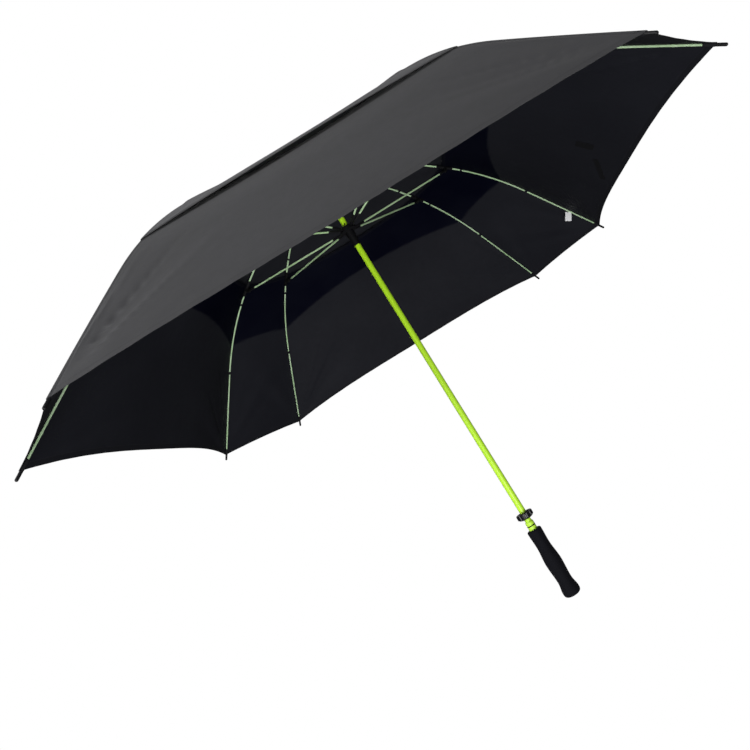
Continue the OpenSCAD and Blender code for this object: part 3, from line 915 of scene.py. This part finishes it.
for rib in RIBS:
    inner_band = wound_band(f"tie_band_inner_{rib}", rib, 290, 6.5, 2.5)
    attach(inner_band, f"rib_{rib}")
    outer_bands = join([wound_band(f"tie_bands_outer_{rib}", rib, 398, 6.5, 2.25),
                        wound_band("second_band", rib, RIB_POINTS[2][0], 7.5, 2.6),
                        tip_loop("tip_loop", rib)])
    attach(outer_bands, f"rib_end_{rib}")

# --------------------------------------------------------------------------
# Moulded sockets on the rods
# --------------------------------------------------------------------------
# Radii at even steps along a socket
SOCKET_RADII = [1.6, 2.5, 2.75, 2.8, 2.8, 2.75, 2.7, 2.9, 2.95, 2.7, 2.3]
RIB_SOCKET_RADII = [radius + 0.1 for radius in SOCKET_RADII]
STRETCHER_TIP_RADII = [2.0, 2.8, 3.1, 3.1, 3.0, 2.9, 2.5]


def rib_height(distance):
    return float(rib_line(distance)[0])


def stretcher_height(distance):
    (inner, low), (outer, high) = STRETCHER_INNER, STRETCHER_OUTER
    return low + (high - low) * (distance - inner) / (outer - inner)


# name, piece it rides on, first and last distance from the axis, height of the rod, radii
SOCKETS = (
    ("stretcher_socket", "stretcher", 21.8, 48.0, stretcher_height, SOCKET_RADII),
    ("stretcher_tip_socket", "stretcher", 325.8, 345.624, stretcher_height, STRETCHER_TIP_RADII),
    ("rib_socket", "rib", 21.5, 46.0, rib_height, RIB_SOCKET_RADII),
)
for rib in RIBS:
    outward = rib_axes(rib)[0]
    for name, rod, start, stop, height, radii in SOCKETS:
        path = [outward * r + UP * height(r) for r in np.linspace(start, stop, len(radii))]
        socket = tube(f"{name}_{rib}", path, radii, SOCKET, 24)
        attach(socket, f"{rod}_{rib}")


# --------------------------------------------------------------------------
# Soft black ring lying in the groove of the handle sleeve
# --------------------------------------------------------------------------
def sleeve_ring():
    radius, height = 8.15, 148.6
    half_width, half_height = 0.75, 0.85
    segments, count = 72, 16
    profile = [(radius + half_width * math.cos(t), height + half_height * math.sin(t))
               for t in np.linspace(0, 2 * math.pi, count + 1)[:-1]]
    verts, faces = [], []
    for i in range(segments):
        t = 2 * math.pi * i / segments
        verts += [(r * math.cos(t) / MM, r * math.sin(t) / MM, z / MM) for r, z in profile]
        here, after = i * count, (i + 1) % segments * count
        for j in range(count):
            following = (j + 1) % count
            faces.append((here + j, after + j, after + following, here + following))
    mesh = new_mesh("sleeve_ring", verts, faces, SOCKET)
    shade_smooth(mesh, 40)
    return link(bpy.data.objects.new("sleeve_ring", mesh))


attach(sleeve_ring(), "shaft")


# --------------------------------------------------------------------------
# Closing strap and its painted-shadow patches, on the +X panel
# --------------------------------------------------------------------------
def cloth_strip(name, x, across, offset, side, width, thickness, material):
    """A ribbon lying along the lower cloth of panel 0, above it by the offset."""
    normals = cloth_normal(0, across, x, "low")
    centre = cloth(0, across, x, "low", extra=offset)
    sideways = unit(np.cross(normals, unit(np.gradient(centre, axis=0))))
    if material is RIBBON:  # the strap bows off the cloth between its ends
        bow = 0.35 + 0.9 * np.sin(math.pi * np.linspace(0, 1, len(x))) ** 2
        centre = centre + normals * bow[:, None]
    ob = ribbon(name, centre, sideways, normals, width, thickness, material)
    return attach(ob, f"rib_end_{rib_of(0, side)}")


# each goes through gather just as the panel strip beside it does
INNER_STRIP, HEM_STRIP = (632.0, 672.0), (672.0, EDGES["low"][1])
strap = cloth_strip("closing_strap", np.linspace(658, 694, 30), np.linspace(0.03, 0.27, 30),
                    offset=1.4, side=1, width=17, thickness=1.1, material=RIBBON)
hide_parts("tie_strap")
gather(strap, 0, 1, "low", *HEM_STRIP, True)

# on the inside, the cloth is doubled where the strap is stitched on, and darker under it as painted
# shadow of the strap seen through the cloth
# x span, across span, width, side of the panel, strip
STRAP_SHADOW_PATCHES = (((624.0, 654.0), (-0.08, -0.08), 24.0, -1, INNER_STRIP),
           ((665.0, 693.0), (0.05, 0.27), 12.0, 1, HEM_STRIP))
for i, (x_span, across_span, width, side, strip) in enumerate(STRAP_SHADOW_PATCHES, 1):
    patch = cloth_strip(f"strap_shadow_patch_{i}", np.linspace(*x_span, 16), np.linspace(*across_span, 16),
                        offset=-0.75, side=side, width=width, thickness=0.5, material=STRAP_SHADOW)
    gather(patch, 0, side, "low", *strip, True)


# --------------------------------------------------------------------------
# Blank label: a satin tab hanging by rib 6
# --------------------------------------------------------------------------
def blank_label():
    distance, beside, below = 661, 3.6, 1.2  # top end: from the axis, beside and below the rib
    length, wave = 24.0, 1.3
    # the umbrella leans as it stands, so the tab hangs straight down past its rib
    down = unit(np.array([-0.524, 0.160, -0.837]))
    over = np.array([0.852, 0.090, -0.516])
    outward, sideways = rib_axes(6)
    top = outward * distance + sideways * beside + UP * (rib_height(distance) - below)
    t = np.linspace(0, 1, 18)[:, None]
    centre = top + down * (length * t) + np.cross(down, over) * (wave * np.sin(3.0 * t))
    tangent = unit(np.gradient(centre, axis=0))
    facing = 0.25 * outward + 0.75 * over
    across = unit(facing[None, :] - tangent * (tangent @ facing)[:, None])
    normals = unit(np.cross(tangent, across))
    return ribbon("blank_label", centre, across, normals, 18, 0.5, LABEL)


label = attach(blank_label(), "rib_end_6")
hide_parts("care_label")


# --------------------------------------------------------------------------
# Floor and world: white to the camera, grey to everything else
# --------------------------------------------------------------------------
def floor_material():
    graph = new_material("pale_floor")
    camera_ray = graph.add("ShaderNodeLightPath").outputs["Is Camera Ray"]
    white = graph.add("ShaderNodeEmission", {"Color": (1, 1, 1, 1), "Strength": 1.0})
    clouds = graph.noise(graph.coords(), scale=3.0, detail=2, roughness=0.5)
    tone = graph.ramp(clouds, (0.3, (0.16, 0.16, 0.16, 1)), (0.7, (0.19, 0.19, 0.19, 1)))
    grey = graph.add("ShaderNodeBsdfDiffuse", {"Color": tone})
    inputs = {0: camera_ray, 1: grey.outputs[0], 2: white.outputs[0]}
    surface = graph.add("ShaderNodeMixShader", inputs).outputs[0]
    graph.feed(graph.tree.nodes["Material Output"].inputs["Surface"], surface)
    return graph.owner


FLOOR_HALF, FLOOR_Z = 60, -1.7  # metres
corners = [(x * FLOOR_HALF, y * FLOOR_HALF, FLOOR_Z) for x, y in ((-1, -1), (1, -1), (1, 1), (-1, 1))]
floor_mesh = new_mesh("floor", corners, [(0, 1, 2, 3)], floor_material())
link(bpy.data.objects.new("floor", floor_mesh))


def studio_world():
    world = bpy.data.worlds.new("studio")
    graph = Graph(world)
    graph.tree.nodes.clear()
    output = graph.add("ShaderNodeOutputWorld")
    camera_ray = graph.add("ShaderNodeLightPath").outputs["Is Camera Ray"]
    white = graph.add("ShaderNodeBackground", {"Color": (1, 1, 1, 1), "Strength": 1.0})
    # ambient light, brighter from above
    direction = graph.add("ShaderNodeTexCoord").outputs["Generated"]
    inputs = {0: graph.split(direction)[2], 1: -1.0, 2: 1.0}
    rise = graph.add("ShaderNodeMapRange", inputs).outputs[0]
    tone = graph.ramp(rise, (0.35, (0.14, 0.14, 0.15, 1)), (0.75, (0.36, 0.36, 0.37, 1)))
    ambient = graph.add("ShaderNodeBackground", {"Color": tone, "Strength": 0.8})
    inputs = {0: camera_ray, 1: ambient.outputs[0], 2: white.outputs[0]}
    surface = graph.add("ShaderNodeMixShader", inputs).outputs[0]
    graph.feed(output.inputs["Surface"], surface)
    return world


scene.world = studio_world()


# --------------------------------------------------------------------------
# Lights and camera, in metres
# --------------------------------------------------------------------------
def area(name, place, target, size, power):
    light = bpy.data.lights.new(name, "AREA")
    light.energy = power
    light.size = size
    ob = link(bpy.data.objects.new(name, light))
    ob.location = place
    ob.rotation_mode = "QUATERNION"
    ob.rotation_quaternion = (Vector(target) - Vector(place)).to_track_quat("-Z", "Y")


area("key_left", place=(-1.95, -1.35, 1.75), target=(-0.4, 0, 0.8), size=1.3, power=58)
area("front_fill", place=(-0.4, -2.3, -0.75), target=(0, 0.1, 0.75), size=1.4, power=72)
area("rim_back", place=(1.6, 3.0, 2.4), target=(0, 0, 0.8), size=2.0, power=14)

scene.view_settings.view_transform = "Standard"
scene.view_settings.look = "None"
scene.view_settings.exposure = 0
scene.view_settings.gamma = 1

CAMERA_PLACE = (-0.021726, -1.337322, 0.36516)
# The camera's right, up and backward directions
CAMERA_AXES = [[0.8516873, 0.0897221, -0.5163126],
               [0.5239982, -0.1597036, 0.8366126],
               [-0.0073944, -0.9830792, -0.1830318]]
camera = bpy.data.cameras.new("camera")
camera_ob = link(bpy.data.objects.new("camera", camera))
camera.sensor_width = 36
camera.lens = 31.06704
camera.shift_x = -0.0388
camera.shift_y = -0.05897333
camera.clip_start = 0.02
camera.clip_end = 200
# the nearest true rotation to the rounded directions
left, _, right = np.linalg.svd(np.array(CAMERA_AXES))
pose = np.eye(4)
pose[:3, :3] = (left @ right).T
pose[:3, 3] = CAMERA_PLACE
camera_ob.matrix_world = Matrix(pose.tolist())
scene.camera = camera_ob
